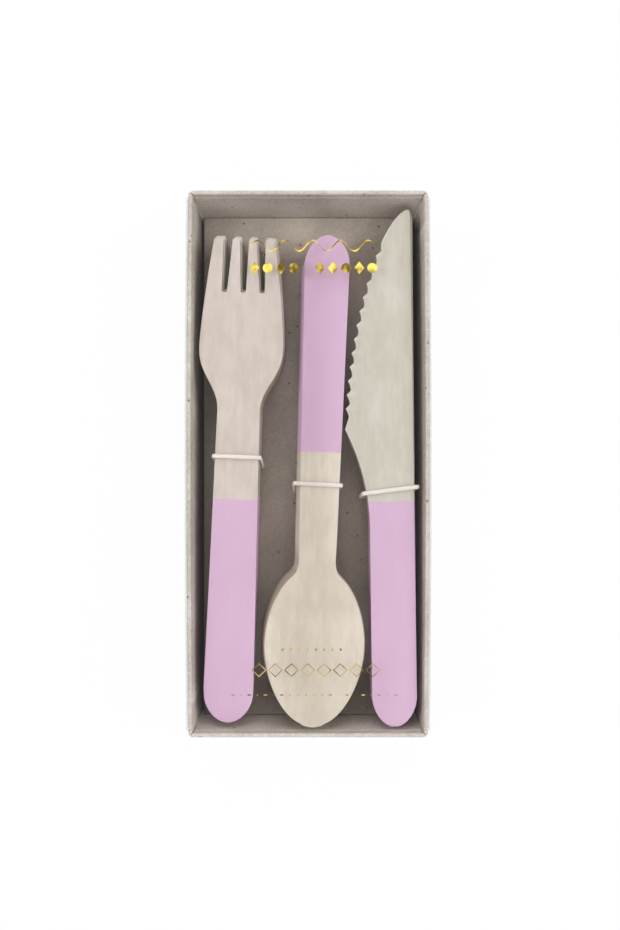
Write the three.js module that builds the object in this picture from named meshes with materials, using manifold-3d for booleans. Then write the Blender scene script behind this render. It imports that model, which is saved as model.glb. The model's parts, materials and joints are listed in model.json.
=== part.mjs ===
// Pack of wooden cutlery: a folded card tray, a raised card platform, three stacks of pressed birch
// cutlery with an elastic tie round each, and a clear wrap that slides over the tray.
// Millimetres, +Z up, X across the tray, Y along it, origin under the middle of the pack.

import * as THREE from 'three';
import { mergeVertices } from 'three/addons/utils/BufferGeometryUtils.js';
import Module from 'manifold-3d';

const wasm = await Module();
wasm.setup();

// Stacks
const piecesPerStack = 8;
const woodThickness = 1.45;
const stackGap = 0.3;
const seatGap = 0.3;

// Fork, measured from the end of its handle
const forkLength = 154;
const forkHandleEndWidth = 16.1;
const forkNeckWidth = 13.4;
const forkHeadWidth = 27.3;
const forkTipWidth = 19.2;
const forkHeadLength = 36.5;
const forkShoulderLength = 16.7;
const forkTipTaper = 1.5;
const forkDip = 2;
const forkTipRise = 0.86;
const forkPressLead = 10;
const forkLowLength = 4.4;
const forkHollow = 0.3;
const slotLength = 16.6;
const slotRootWidth = 1.7;
const slotTipWidth = 2.9;
const slotRootPitch = 6.1;
const slotTipPitch = 5.2;
const tineTipRadius = 1.15;

// Spoon, measured from the tip of its bowl
const spoonLength = 156.5;
const spoonBowlWidth = 32.4;
const bowlTipLength = 25;
const bowlNeckLength = 26;
const spoonNeckWidth = 11.8;
const spoonHandleEndWidth = 14.6;
const neckBlend = 1.6;
const spoonDip = 3;
const bowlCrossShare = 0.72;
const bowlTipPower = 1.7;
const bowlTipTurn = 0.4;
const neckPressShare = 1.4;

// Knife, measured from the end of its handle, with its straight spine on +X
const knifeLength = 165;
const knifeHandleWidth = 14.2;
const bladeWidth = 21.7;
const heelFromEnd = 94.6;
const heelSweep = 31;
const toothCount = 12;
const toothPitch = 4.45;
const toothDepth = 1.15;
const toothRun = 0.7;
const plainFrontLength = 10.9;
const plainPointLength = 13.6;
const knifePointRadius = 1.3;
const bladeBellyPower = 1.6;
const bladePointPower = 0.58;

// Rounded ends of the handles
const handleEndLength = 8.8;
const handleEndPower = 1.6;
const bluntEnd = 0.02;

// How the stacks lie: lean of each stack in the tray, and how far the lower pieces stray from the top
// one, with spread as the number of pieces over which that stray builds up
const forkLean = -2.15;
const spoonLean = -1.95;
const knifeLean = 0.73;
const forkStray = { turn: -0.4, across: 0, along: 1.3, pivot: 85, spread: 1 };
const spoonStray = { turn: -0.2, across: -1.5, along: 0, pivot: 40, spread: 6 };
const knifeStray = { turn: -0.35, across: 0.25, along: -0.3, pivot: 20, spread: 1 };
const scatterTurn = 0.1;
const scatterStep = 2.4;

// Rooms round the stacks
const forkWallRoom = 1.29;
const forkBowlRoom = 2.65;
const knifeBowlRoom = 2;
const knifeWallRoom = 1.74;
const forkEndRoom = 2.34;
const spoonEndRoom = 1.24;
const knifeEndRoom = 1.24;
const tipRoom = 3.04;
const rimRoom = 1.1;

// Tray of double-walled card
const boardThickness = 0.7;
const outerCornerRadius = 1.7;
const wallBow = 0.6;
const floorFoldRadius = 0.5;
const mitreWidth = 0.25;
const mitreSkin = 0.6;
const mitreDepth = 6;

// Platform of folded card
const cardThickness = 0.5;
const platformHeight = 8.27;
const platformSideRoom = 0.69;
const platformEndRoom = 0.3;
const platformFoldRadius = 0.8;

// Elastic ties: place along the stack, turn on top, and how far each side leans on its way down
const tieWidth = 1.3;
const tieThickness = 0.7;
const tieGap = 0.3;
const tieFrontRoom = 0.4;
const forkTie = { at: 84.7, turn: 0, leftLean: -2.2, rightLean: -2.2 };
const spoonTie = { at: 77, turn: -1, leftLean: -2.4, rightLean: -0.6 };
const knifeTie = { at: 75.2, turn: 6.4, leftLean: -1, rightLean: -1 };

// Clear wrap
const filmThickness = 0.2;
const filmGap = 0.3;
const filmEndInset = 2.4;
const filmFoldRadius = 0.7;

// Sizes that follow
const radians = THREE.MathUtils.degToRad;
const pitch = woodThickness + stackGap;
const stackHeight = (piecesPerStack - 1) * pitch + woodThickness;
const wallThickness = 2 * boardThickness;
const tieStandoff = tieThickness / 2 + tieGap;
const innerLength = tipRoom + Math.max(
  forkEndRoom + forkLength, spoonEndRoom + spoonLength, knifeEndRoom + knifeLength);
const forkHeadAt = forkLength - forkHeadLength;
const forkShoulderAt = forkHeadAt - forkShoulderLength;
const forkPressAt = forkShoulderAt - forkPressLead;
const forkLowAt = forkHeadAt + forkLowLength;
const spoonRise = Math.atan(spoonDip / (spoonLength - bowlTipLength));
const forkRise = Math.atan(forkDip / forkLowAt);
const knifeRise = Math.atan((tieThickness + 2 * tieGap - seatGap) / (knifeLength - knifeTie.at));

// Where each stack starts across the tray, from the left inner wall
const forkFromWall = forkWallRoom + forkHeadWidth / 2 + forkHeadAt * Math.tan(radians(forkLean));
const bowlAlong = spoonEndRoom + bowlTipLength;
const forkEdgeAtBowl = forkFromWall + forkHandleEndWidth / 2
  - (bowlAlong - forkEndRoom) * Math.tan(radians(forkLean));
const bowlFromWall = forkEdgeAtBowl + forkBowlRoom + spoonBowlWidth / 2;
const spoonFromWall = bowlFromWall + bowlTipLength * Math.tan(radians(spoonLean));
const knifeFromWall = bowlFromWall + spoonBowlWidth / 2 + knifeBowlRoom + knifeHandleWidth / 2
  + (bowlAlong - knifeEndRoom) * Math.tan(radians(knifeLean));
const innerWidth = knifeFromWall + knifeHandleWidth / 2 + knifeWallRoom;

// Heights, from the surface that the pack lies on
const trayBottom = filmThickness;
const trayFloor = trayBottom + boardThickness;
const platformTop = trayFloor + platformHeight;
const undersideAtTie = (stack) => platformTop + seatGap + stack.lift(stack.tie.at);
const topAtTie = (stack) => undersideAtTie(stack) + stackHeight;
const outerWidth = innerWidth + 2 * wallThickness;
const outerLength = innerLength + 2 * wallThickness;

// Shared shaping

const smoothStep = (t) => {
  const s = THREE.MathUtils.clamp(t, 0, 1);
  return s * s * (3 - 2 * s);
};

// Larger of two widths with a hollow fillet where they cross
const filletMax = (a, b, reach) => {
  const near = Math.max(reach - Math.abs(a - b), 0) / reach;
  return Math.max(a, b) + near * near * reach / 4;
};

// Share of full width at a distance from a rounded handle end
const endShare = (fromEnd, length = handleEndLength) => {
  const q = THREE.MathUtils.clamp(1 - fromEnd / length, 0, 1);
  return Math.sqrt(1 - q ** handleEndPower);
};

// Stations that crowd together towards a rounded end
const crowded = (from, to, count) => Array.from({ length: count },
  (_, i) => from + (to - from) * (1 - Math.cos(Math.PI / 2 * i / count)));

const spaced = (from, to, count) => Array.from({ length: count }, (_, i) => from + (to - from) * i / count);

// Triangles of a grid of vertex numbers; a closed grid joins its last column to its first
function gridFaces(rows, columns, first, flip, closed = false) {
  const faces = [];
  const last = closed ? columns : columns - 1;
  for (let r = 0; r < rows - 1; r++) {
    for (let c = 0; c < last; c++) {
      const a = first + r * columns + c;
      const b = first + r * columns + (c + 1) % columns;
      const quad = [a, b, b + columns, a, b + columns, a + columns];
      faces.push(...(flip ? quad.reverse() : quad));
    }
  }
  return faces;
}

function geometryOf(points, faces) {
  const geometry = new THREE.BufferGeometry();
  geometry.setAttribute('position', new THREE.Float32BufferAttribute(points.flat(), 3));
  geometry.setIndex(faces);
  return geometry;
}

// A pressed plate: sections across it at each station, all of one thickness, bent by the press
function pressedPlate(stations, columns, halfWidth, press) {
  const lower = [];
  for (const v of stations) {
    for (let c = 0; c < columns; c++) {
      const x = halfWidth(v) * (2 * c / (columns - 1) - 1);
      lower.push([x, v, press(x, v)]);
    }
  }
  const upper = lower.map(([x, y, z]) => [x, y, z + woodThickness]);
  const rows = stations.length;
  const count = rows * columns;
  const faces = [
    ...gridFaces(rows, columns, 0, true),
    ...gridFaces(rows, columns, count, false),
  ];
  const edge = [];
  for (let c = 0; c < columns - 1; c++) edge.push(c);
  for (let r = 0; r < rows - 1; r++) edge.push(r * columns + columns - 1);
  for (let c = columns - 1; c > 0; c--) edge.push((rows - 1) * columns + c);
  for (let r = rows - 1; r > 0; r--) edge.push(r * columns);
  edge.forEach((a, i) => {
    const b = edge[(i + 1) % edge.length];
    faces.push(a, b, b + count, a, b + count, a + count);
  });
  return geometryOf([...lower, ...upper], faces);
}

// A closed body through rings of equal length, with a fan over its first and last ring
function ringLoft(rings) {
  const columns = rings[0].length;
  const points = rings.flat();
  const faces = gridFaces(rings.length, columns, 0, false, true);
  const firstMiddle = points.length;
  const lastRow = (rings.length - 1) * columns;
  points.push(middleOf(rings[0]), middleOf(rings.at(-1)));
  for (let c = 0; c < columns; c++) {
    const next = (c + 1) % columns;
    faces.push(firstMiddle, next, c);
    faces.push(firstMiddle + 1, lastRow + c, lastRow + next);
  }
  return geometryOf(points, faces);
}

function middleOf(ring) {
  return [0, 1, 2].map((axis) => ring.reduce((sum, point) => sum + point[axis], 0) / ring.length);
}

// A closed body through rings that come back to the first one
function ringLoop(rings) {
  const columns = rings[0].length;
  return geometryOf([...rings, rings[0]].flat(), gridFaces(rings.length + 1, columns, 0, false, true));
}

function toSolid(geometry) {
  const bare = geometry.clone();
  bare.deleteAttribute('normal');
  bare.deleteAttribute('uv');
  const merged = mergeVertices(bare, 1e-4);
  return new wasm.Manifold(new wasm.Mesh({
    numProp: 3,
    vertProperties: new Float32Array(merged.attributes.position.array),
    triVerts: new Uint32Array(merged.index.array),
  }));
}

function toGeometry(solid) {
  const mesh = solid.getMesh();
  const geometry = new THREE.BufferGeometry();
  geometry.setAttribute('position', new THREE.Float32BufferAttribute(mesh.vertProperties, 3));
  geometry.setIndex(Array.from(mesh.triVerts));
  return geometry;
}

const extruded = (shape, depth, curveSegments) => new THREE.ExtrudeGeometry(
  shape, { depth, bevelEnabled: false, curveSegments, steps: 1 });

// Fork

function forkHalfWidth(v) {
  const handle = THREE.MathUtils.mapLinear(
    Math.min(v, forkShoulderAt), 0, forkShoulderAt, forkHandleEndWidth, forkNeckWidth);
  const shoulder = (forkHeadWidth - forkNeckWidth) * smoothStep((v - forkShoulderAt) / forkShoulderLength);
  const tipShare = Math.max((v - forkHeadAt) / forkHeadLength, 0);
  const taper = (forkHeadWidth - forkTipWidth) * tipShare ** forkTipTaper;
  const fromTip = Math.min(forkLength - v, tineTipRadius);
  const tipRound = tineTipRadius - Math.sqrt(tineTipRadius ** 2 - (tineTipRadius - fromTip) ** 2);
  return (handle + shoulder - taper) / 2 * endShare(v) - tipRound;
}

// The head dips below the handle, rises again to the tips, and is a little hollow across
function forkPress(x, v) {
  const t = THREE.MathUtils.clamp((v - forkPressAt) / (forkLength - forkPressAt), 0, 1);
  const hollow = 1 - forkHollow * (2 * x / forkHeadWidth) ** 2;
  return -forkDip * Math.sin(forkTipRise * Math.PI * t) ** 2 * hollow;
}

// One slot between tines: a round root, sides that open towards the tips, and round corners there
function slotCutter(side) {
  const rootRadius = slotRootWidth / 2;
  const rootX = side * slotRootPitch;
  const tipX = side * slotTipPitch;
  const tipV = forkLength - tineTipRadius;
  const rootV = forkLength - slotLength + rootRadius;
  const halfTip = slotTipWidth / 2;
  const outX = halfTip + tineTipRadius;
  const shape = new THREE.Shape();
  shape.moveTo(rootX + rootRadius, rootV);
  shape.lineTo(tipX + halfTip, tipV);
  shape.absarc(tipX + outX, tipV, tineTipRadius, Math.PI, Math.PI / 2, true);
  shape.lineTo(tipX + outX, forkLength + 1);
  shape.lineTo(tipX - outX, forkLength + 1);
  shape.lineTo(tipX - outX, forkLength);
  shape.absarc(tipX - outX, tipV, tineTipRadius, Math.PI / 2, 0, true);
  shape.lineTo(rootX - rootRadius, rootV);
  shape.absarc(rootX, rootV, rootRadius, Math.PI, 2 * Math.PI, false);
  const reach = forkDip + woodThickness + 1;
  return extruded(shape, 2 * reach, 2).translate(0, 0, -reach);
}

function forkGeometry() {
  const stations = [
    ...crowded(0, handleEndLength, 5),
    handleEndLength,
    ...spaced(forkPressAt, forkShoulderAt, 2),
    ...spaced(forkShoulderAt, forkHeadAt, 6),
    ...spaced(forkHeadAt, forkLength - tineTipRadius, 5),
    ...spaced(forkLength - tineTipRadius, forkLength, 2),
    forkLength,
  ];
  stations[0] = bluntEnd;
  let fork = toSolid(pressedPlate(stations, 4, forkHalfWidth, forkPress));
  for (const side of [-1, 0, 1]) fork = fork.subtract(toSolid(slotCutter(side)));
  return toGeometry(fork);
}

// Spoon

function spoonHalfWidth(v) {
  const beforeWidest = Math.max(bowlTipLength - v, 0) / bowlTipLength;
  const afterWidest = Math.min(Math.max(v - bowlTipLength, 0) / bowlNeckLength, 1);
  const tipRound = Math.sqrt(1 - beforeWidest ** bowlTipPower);
  const bowl = spoonBowlWidth / 2 * tipRound * Math.sqrt(1 - afterWidest ** 2);
  if (v <= bowlTipLength) return bowl;
  const neckAt = bowlTipLength + bowlNeckLength;
  const handle = THREE.MathUtils.mapLinear(
    Math.max(v, neckAt), neckAt, spoonLength, spoonNeckWidth, spoonHandleEndWidth) / 2;
  return filletMax(bowl, handle, neckBlend) * endShare(spoonLength - v);
}

// The bowl dips below the handle and is hollow across, up to its rim
function spoonPress(x, v) {
  const neckEnd = bowlTipLength + neckPressShare * bowlNeckLength;
  const along = v < bowlTipLength
    ? Math.cos(bowlTipTurn * Math.PI * (1 - v / bowlTipLength)) ** 2
    : 1 - smoothStep((v - bowlTipLength) / (neckEnd - bowlTipLength));
  const bowlHalf = Math.max(spoonHalfWidth(Math.min(v, bowlTipLength + bowlNeckLength)), 4);
  return -spoonDip * along * (1 - bowlCrossShare * Math.min(Math.abs(x) / bowlHalf, 1) ** 2);
}

function spoonGeometry() {
  const neckAt = bowlTipLength + bowlNeckLength;
  const stations = [
    ...crowded(0, bowlTipLength, 7),
    ...spaced(bowlTipLength, neckAt - 3, 6),
    ...spaced(neckAt - 3, neckAt + 9, 4),
    neckAt + 9,
    spoonLength - handleEndLength,
    ...crowded(spoonLength, spoonLength - handleEndLength, 5).reverse(),
  ];
  stations[0] = bluntEnd;
  stations[stations.length - 1] = spoonLength - bluntEnd;
  return pressedPlate(stations, 6, spoonHalfWidth, spoonPress);
}

// Knife

// Reach of the blade's front from the spine, without its teeth
function bladeReach(v) {
  const t = THREE.MathUtils.clamp((v - heelFromEnd) / (knifeLength - heelFromEnd), 0, 1);
  return bladeWidth * (1 - t ** bladeBellyPower) ** bladePointPower;
}

function knifeGeometry() {
  const spine = knifeHandleWidth / 2;
  const front = (v, cut = 0) => [spine - bladeReach(v) + cut, v];
  const shape = new THREE.Shape();
  shape.moveTo(spine, handleEndLength);
  shape.lineTo(spine, knifeLength - knifePointRadius);

  // Point, then the plain part of the front
  const lastV = knifeLength - 0.5;
  shape.quadraticCurveTo(spine, knifeLength, ...front(lastV));
  const teethTop = knifeLength - plainPointLength;
  const plainEnd = knifeLength - plainFrontLength;
  for (const v of crowded(lastV, plainEnd, 6).slice(2)) shape.lineTo(...front(v));
  shape.lineTo(...front(plainEnd));
  shape.lineTo(...front(teethTop, toothDepth));

  // Scallops: a step out to each tooth, then a hollow run back in towards the heel
  const stepLength = toothPitch * (1 - toothRun);
  const hollowDepth = toothDepth * 0.95;
  for (let i = 0; i < toothCount; i++) {
    const tipV = teethTop - i * toothPitch - stepLength;
    const notchV = tipV - toothPitch * toothRun;
    shape.lineTo(...front(tipV));
    shape.quadraticCurveTo(...front((tipV + notchV) / 2, hollowDepth), ...front(notchV, toothDepth));
  }
  shape.lineTo(...front(heelFromEnd));

  // Heel, swept back into the handle
  const handleFrom = heelFromEnd - heelSweep;
  shape.quadraticCurveTo(-spine, heelFromEnd - heelSweep / 2, -spine, handleFrom);
  const endStations = crowded(0, handleEndLength, 7);
  for (const v of endStations.toReversed()) shape.lineTo(-spine * endShare(v + bluntEnd), v);
  for (const v of endStations) shape.lineTo(spine * endShare(v + bluntEnd), v);
  return extruded(shape, woodThickness, 3);
}

// Ties: narrow elastic on a rounded rectangle that runs over the stack and back under it

function tieGeometry(stack) {
  const { tie } = stack;
  const top = topAtTie(stack) + tieStandoff;
  const bottom = undersideAtTie(stack) - tieStandoff;
  const [left, right] = stack.edges.map((edge) => edge + Math.sign(edge) * tieStandoff);
  const radius = tieStandoff;
  const loop = new THREE.Path();
  loop.absarc(right - radius, top - radius, radius, 0, Math.PI / 2, false);
  loop.absarc(left + radius, top - radius, radius, Math.PI / 2, Math.PI, false);
  loop.absarc(left + radius, bottom + radius, radius, Math.PI, 1.5 * Math.PI, false);
  loop.absarc(right - radius, bottom + radius, radius, 1.5 * Math.PI, 2 * Math.PI, false);
  const path = loop.getPoints(2);
  const sides = 8;
  const rings = path.map((point, i) => {
    const before = path[(i + path.length - 1) % path.length];
    const after = path[(i + 1) % path.length];
    const outward = new THREE.Vector2(after.y - before.y, before.x - after.x).normalize();
    const acrossShare = (point.x - left) / (right - left);
    const downShare = (top - point.y) / (top - bottom);
    const lean = THREE.MathUtils.lerp(tie.leftLean, tie.rightLean, acrossShare) * downShare;
    const slant = point.x * Math.tan(radians(tie.turn));
    return Array.from({ length: sides }, (_, k) => {
      const angle = 2 * Math.PI * k / sides;
      const out = tieThickness / 2 * Math.cos(angle);
      return [
        point.x + out * outward.x,
        lean + slant + tieWidth / 2 * Math.sin(angle),
        point.y + out * outward.y,
      ];
    });
  });
  return ringLoop(rings);
}

function tiePlace(stack) {
  const turn = radians(stack.lean);
  const place = new THREE.Matrix4().makeRotationZ(turn);
  return place.setPosition(
    stack.x - stack.tie.at * Math.sin(turn), stack.y + stack.tie.at * Math.cos(turn), 0);
}

// Tray: rings that go out under the floor, up the outside, over the rolled rim and down to the floor

function trayGeometry(rimTop) {
  const height = rimTop - trayBottom;
  const ring = (inset, z) => trayOutline().map(({ x, y, nx, ny, bow }) => [
    x - nx * inset + bow * wallBow * z / height,
    y - ny * inset,
    trayBottom + z,
  ]);
  const rimRadius = wallThickness / 2;
  const rings = [
    ring(floorFoldRadius, 0),
    ring(floorFoldRadius * 0.3, floorFoldRadius * 0.3),
    ring(0, floorFoldRadius),
  ];
  for (let i = 0; i <= 4; i++) {
    const angle = Math.PI * i / 4;
    rings.push(ring(rimRadius * (1 - Math.cos(angle)), height - rimRadius * (1 - Math.sin(angle))));
  }
  rings.push(ring(wallThickness, boardThickness));
  let tray = toSolid(ringLoft(rings));
  for (const slit of mitreSlits(rimTop)) tray = tray.subtract(toSolid(slit));
  return toGeometry(tray);
}

// Slits at the corners, where the rolled rims meet; a skin of card stays whole outside them
function mitreSlits(rimTop) {
  const reach = outerCornerRadius - mitreSkin;
  const length = reach + mitreSkin;
  const middle = reach - length / 2;
  return [[1, 1], [-1, 1], [-1, -1], [1, -1]].map(([sx, sy]) => {
    const slit = new THREE.BoxGeometry(length, mitreWidth, 2 * mitreDepth);
    slit.rotateZ(Math.atan2(sy, sx));
    return slit.translate(
      sx * (outerWidth / 2 - outerCornerRadius + middle * Math.SQRT1_2),
      sy * (outerLength / 2 - outerCornerRadius + middle * Math.SQRT1_2),
      rimTop,
    );
  });
}

// Plan of the tray: round corners, straight ends, and long sides that can bow outwards
function trayOutline() {
  const points = [];
  const halfX = outerWidth / 2 - outerCornerRadius;
  const halfY = outerLength / 2 - outerCornerRadius;
  const cornerSteps = 3;
  const sideSteps = 6;
  const corners = [[1, -1, -90], [1, 1, 0], [-1, 1, 90], [-1, -1, 180]];
  for (const [sx, sy, start] of corners) {
    for (let i = 0; i <= cornerSteps; i++) {
      const angle = radians(start + 90 * i / cornerSteps);
      const nx = Math.cos(angle);
      const ny = Math.sin(angle);
      points.push({
        x: sx * halfX + nx * outerCornerRadius,
        y: sy * halfY + ny * outerCornerRadius,
        nx,
        ny,
        bow: 0,
      });
    }
    if (sx * sy > 0) continue;
    for (let i = 1; i < sideSteps; i++) {
      const along = 2 * i / sideSteps - 1;
      const bow = sx * (1 - along ** 2);
      points.push({ x: sx * outerWidth / 2, y: sx * along * halfY, nx: sx, ny: 0, bow });
    }
  }
  return points;
}

// Platform: a card panel on two folded legs

function platformGeometry() {
  const half = innerWidth / 2 - platformSideRoom;
  const length = innerLength - 2 * platformEndRoom;
  const inner = Math.max(platformFoldRadius - cardThickness, 0.1);
  const section = new THREE.Shape();
  section.moveTo(half, 0);
  section.lineTo(half, platformHeight - platformFoldRadius);
  section.absarc(half - platformFoldRadius, platformHeight - platformFoldRadius,
    platformFoldRadius, 0, Math.PI / 2, false);
  section.absarc(platformFoldRadius - half, platformHeight - platformFoldRadius,
    platformFoldRadius, Math.PI / 2, Math.PI, false);
  section.lineTo(-half, 0);
  section.lineTo(cardThickness - half, 0);
  section.absarc(platformFoldRadius - half, platformHeight - platformFoldRadius,
    inner, Math.PI, Math.PI / 2, true);
  section.absarc(half - platformFoldRadius, platformHeight - platformFoldRadius,
    inner, Math.PI / 2, 0, true);
  section.lineTo(half - cardThickness, 0);
  return extruded(section, length, 2).rotateX(Math.PI / 2).translate(0, length / 2, trayFloor);
}

// Clear wrap: a folded tube round the tray, open at both ends, that follows the bowed sides

function wrapGeometry(rimTop) {
  const halfLength = outerLength / 2 - filmEndInset;
  const steps = 6;
  const section = (y, inset) => {
    const bow = wallBow * (1 - (y / (outerLength / 2)) ** 2);
    const low = inset;
    const high = rimTop + filmGap + filmThickness - inset;
    const radius = filmFoldRadius - inset;
    const corners = [[1, low, -90], [1, high, 0], [-1, high, 90], [-1, low, 180]];
    return corners.flatMap(([sx, z, start]) => [0, 1, 2].map((i) => {
      const angle = radians(start + 45 * i);
      const top = z === high;
      const half = outerWidth / 2 + (top ? bow : 0) + filmGap + filmThickness - inset;
      return [
        sx * (half - radius) + radius * Math.cos(angle),
        y,
        z + (top ? -radius : radius) + radius * Math.sin(angle),
      ];
    }));
  };
  const along = Array.from({ length: steps + 1 }, (_, i) => halfLength * (1 - 2 * i / steps));
  const rings = [
    ...along.map((y) => section(y, 0)),
    ...along.reverse().map((y) => section(y, filmThickness)),
  ];
  return ringLoop(rings);
}

// Assembly

const finish = (color, roughness, options = {}) => new THREE.MeshStandardMaterial(
  { color, roughness, metalness: 0, ...options });
const cardFinish = finish(0xb3aba0, 0.9);
const forkFinish = finish(0xd6ccbd, 0.7);
const spoonFinish = finish(0xd7cbb9, 0.7);
const knifeFinish = finish(0xd5cebe, 0.7);
const tieFinish = finish(0xf0e4e0, 0.8);
const filmFinish = finish(0xffffff, 0.05, { transparent: true, opacity: 0.12 });

const pack = new THREE.Group();

function add(name, geometry, material, parent = pack) {
  const mesh = new THREE.Mesh(geometry, material);
  mesh.name = name;
  parent.add(mesh);
  return mesh;
}

// Half widths of a stack at its tie, with the stray of its lower pieces
function edgesAtTie(halfLeft, halfRight, stray, tie) {
  const offset = stray.across - (tie.at - stray.pivot) * Math.sin(radians(stray.turn));
  const scatter = Math.abs(tie.at - stray.pivot) * Math.sin(radians(scatterTurn));
  return [
    -halfLeft + Math.min(offset, 0) - scatter,
    halfRight + Math.max(offset, 0) + scatter,
  ];
}

const forkAtTie = forkHalfWidth(forkTie.at - Math.abs(forkStray.along));
const spoonAtTie = spoonHalfWidth(spoonTie.at);
const knifeSweepAtTie = Math.max(knifeTie.at - (heelFromEnd - heelSweep), 0) / heelSweep;
const knifeFrontAtTie = knifeHandleWidth / 2 + (bladeWidth - knifeHandleWidth) * knifeSweepAtTie ** 2;

const stacks = [
  {
    name: 'fork',
    geometry: forkGeometry(),
    material: forkFinish,
    x: forkFromWall - innerWidth / 2,
    y: forkEndRoom - innerLength / 2,
    lean: forkLean,
    rise: forkRise,
    lift: (v) => v * Math.tan(forkRise),
    stray: forkStray,
    tie: forkTie,
    edges: edgesAtTie(forkAtTie, forkAtTie, forkStray, forkTie),
  },
  {
    name: 'spoon',
    geometry: spoonGeometry(),
    material: spoonFinish,
    x: spoonFromWall - innerWidth / 2,
    y: spoonEndRoom - innerLength / 2,
    lean: spoonLean,
    rise: -spoonRise,
    lift: (v) => (spoonLength - v) * Math.tan(spoonRise),
    stray: spoonStray,
    tie: spoonTie,
    edges: edgesAtTie(spoonAtTie, spoonAtTie, spoonStray, spoonTie),
  },
  {
    name: 'knife',
    geometry: knifeGeometry(),
    material: knifeFinish,
    x: knifeFromWall - innerWidth / 2,
    y: knifeEndRoom - innerLength / 2,
    lean: knifeLean,
    rise: -knifeRise,
    lift: (v) => (knifeLength - v) * Math.tan(knifeRise),
    stray: knifeStray,
    tie: knifeTie,
    edges: edgesAtTie(knifeFrontAtTie + tieFrontRoom, knifeHandleWidth / 2, knifeStray, knifeTie),
  },
];

const tieTop = (stack) => topAtTie(stack) + tieGap + tieThickness;
const rimTop = Math.max(...stacks.map(tieTop)) + rimRoom;

add('tray', trayGeometry(rimTop), cardFinish);
add('platform', platformGeometry(), cardFinish);
add('sleeve', wrapGeometry(rimTop), filmFinish);

for (const stack of stacks) {
  const group = new THREE.Group();
  group.position.set(stack.x, stack.y, platformTop + seatGap + stack.lift(0));
  group.rotation.set(stack.rise, 0, radians(stack.lean), 'ZXY');
  pack.add(group);
  for (let level = 0; level < piecesPerStack; level++) {
    const { turn, across, along, pivot, spread } = stack.stray;
    const share = Math.min((piecesPerStack - 1 - level) / spread, 1);
    const stray = new THREE.Group();
    stray.position.set(share * across, pivot + share * along, level * pitch);
    stray.rotation.z = share * radians(turn + scatterTurn * Math.sin(scatterStep * level));
    group.add(stray);
    const piece = add(`${stack.name}_${level + 1}`, stack.geometry, stack.material, stray);
    piece.position.y = -pivot;
  }
  const tie = add(`tie_${stack.name}`, tieGeometry(stack), tieFinish);
  tie.applyMatrix4(tiePlace(stack));
}

export default pack;
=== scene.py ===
import bpy
import bmesh
import json
import math
from mathutils import Matrix, Vector

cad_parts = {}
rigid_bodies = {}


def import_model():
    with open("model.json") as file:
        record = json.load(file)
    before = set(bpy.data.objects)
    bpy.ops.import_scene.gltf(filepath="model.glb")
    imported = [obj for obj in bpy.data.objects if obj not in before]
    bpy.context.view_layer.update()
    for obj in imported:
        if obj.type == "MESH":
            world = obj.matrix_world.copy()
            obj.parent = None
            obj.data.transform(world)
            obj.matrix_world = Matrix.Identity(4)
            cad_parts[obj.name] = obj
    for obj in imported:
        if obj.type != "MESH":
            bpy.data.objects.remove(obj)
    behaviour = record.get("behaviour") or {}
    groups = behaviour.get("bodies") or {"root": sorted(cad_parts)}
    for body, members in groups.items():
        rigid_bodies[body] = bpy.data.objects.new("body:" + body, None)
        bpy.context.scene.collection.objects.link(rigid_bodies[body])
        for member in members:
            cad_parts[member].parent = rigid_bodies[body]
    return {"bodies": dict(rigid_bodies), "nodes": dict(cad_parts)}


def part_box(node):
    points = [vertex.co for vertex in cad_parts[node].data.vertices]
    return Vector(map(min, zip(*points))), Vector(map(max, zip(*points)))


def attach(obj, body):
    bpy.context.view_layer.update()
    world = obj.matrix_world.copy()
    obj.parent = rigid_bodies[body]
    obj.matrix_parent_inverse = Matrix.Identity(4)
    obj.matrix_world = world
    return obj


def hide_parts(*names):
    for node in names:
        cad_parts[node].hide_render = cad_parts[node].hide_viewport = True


mm = 0.001
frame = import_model()
nodes = frame["nodes"]
packBody = next(iter(frame["bodies"]))
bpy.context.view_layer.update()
print("frame loaded:", len(nodes), "nodes")


def tone(red, green, blue):  # screen colour to the linear colour that a shader takes
    share = [c / 255 for c in (red, green, blue)]
    return (*[c / 12.92 if c <= 0.04045 else ((c + 0.055) / 1.055) ** 2.4 for c in share], 1)


# Shader sums
class Flow:
    def __init__(self, finish, socket):
        self.finish = finish
        self.socket = socket

    def math(self, operation, *others):
        return self.finish.node("Math", {"operation": operation}, dict(enumerate((self, *others))))

    def __add__(self, other):
        return self.math("ADD", other)

    def __radd__(self, other):
        return self.math("ADD", other)

    def __sub__(self, other):
        return self.math("SUBTRACT", other)

    def __rsub__(self, other):
        return self.finish.node("Math", {"operation": "SUBTRACT"}, {0: other, 1: self})

    def __mul__(self, other):
        return self.math("MULTIPLY", other)

    def __rmul__(self, other):
        return self.math("MULTIPLY", other)

    def between(self, low, high):  # 0 below low and 1 above high, with a soft step
        return self.finish.node("MapRange", {"interpolation_type": "SMOOTHSTEP"},
                                {"Value": self, "From Min": low, "From Max": high})


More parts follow.
